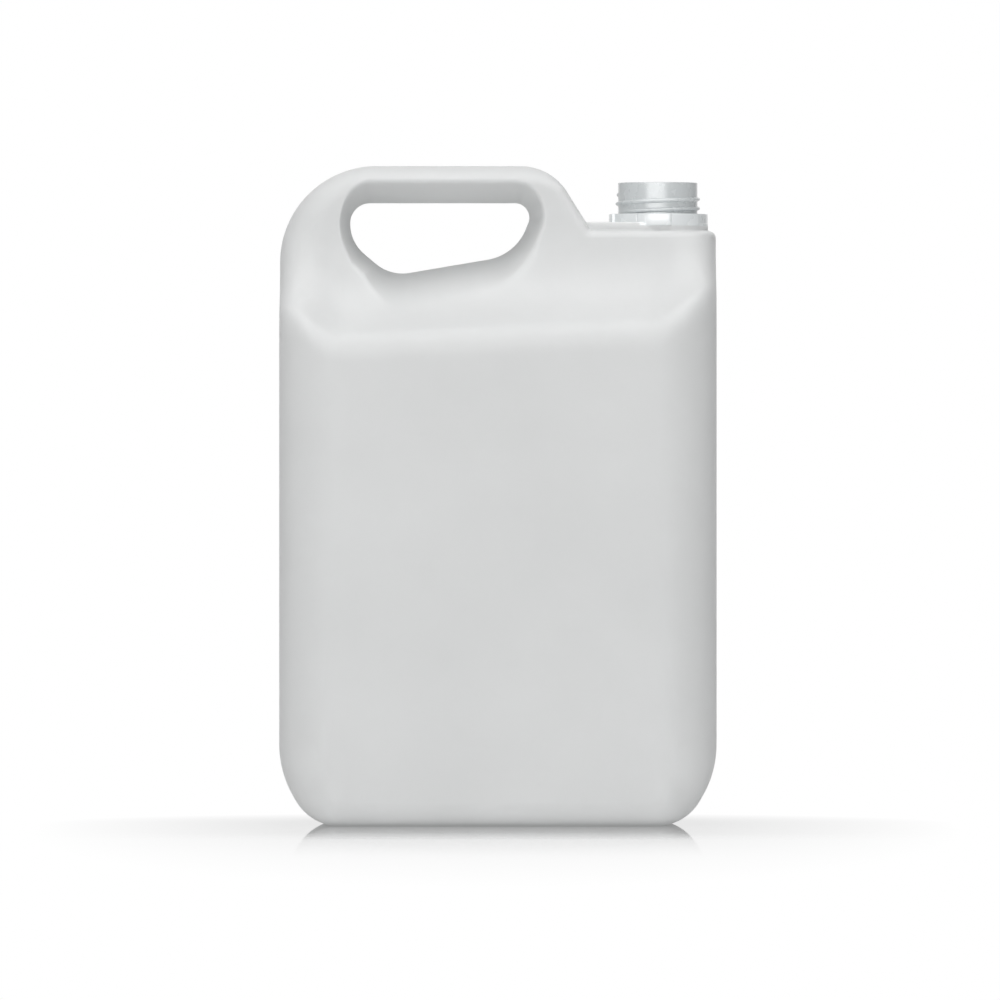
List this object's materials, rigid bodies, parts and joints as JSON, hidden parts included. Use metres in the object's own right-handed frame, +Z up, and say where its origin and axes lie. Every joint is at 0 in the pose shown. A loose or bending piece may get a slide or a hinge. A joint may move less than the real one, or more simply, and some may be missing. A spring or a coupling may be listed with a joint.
{
  "type": "plastic jerrycan",
  "caption": "Moulded plastic jerrycan: tall rectangular body with rounded edges, sloped shoulder, handle moulded through the top corner, and a screw neck with a ratchet collar beside it.",
  "frame": {"origin": "centre of the footprint, on the ground", "axes": "+X towards the side with the neck, -Y towards the front panel, +Z up; the mould's parting plane is y = 0"},
  "size_m": [0.19, 0.128, 0.2865],
  "materials": {
    "natural_plastic": "milky natural polyethylene, satin, slightly translucent"
  },
  "bodies": {
    "root": {"jerrycan": "natural_plastic"}
  },
  "joints": []
}
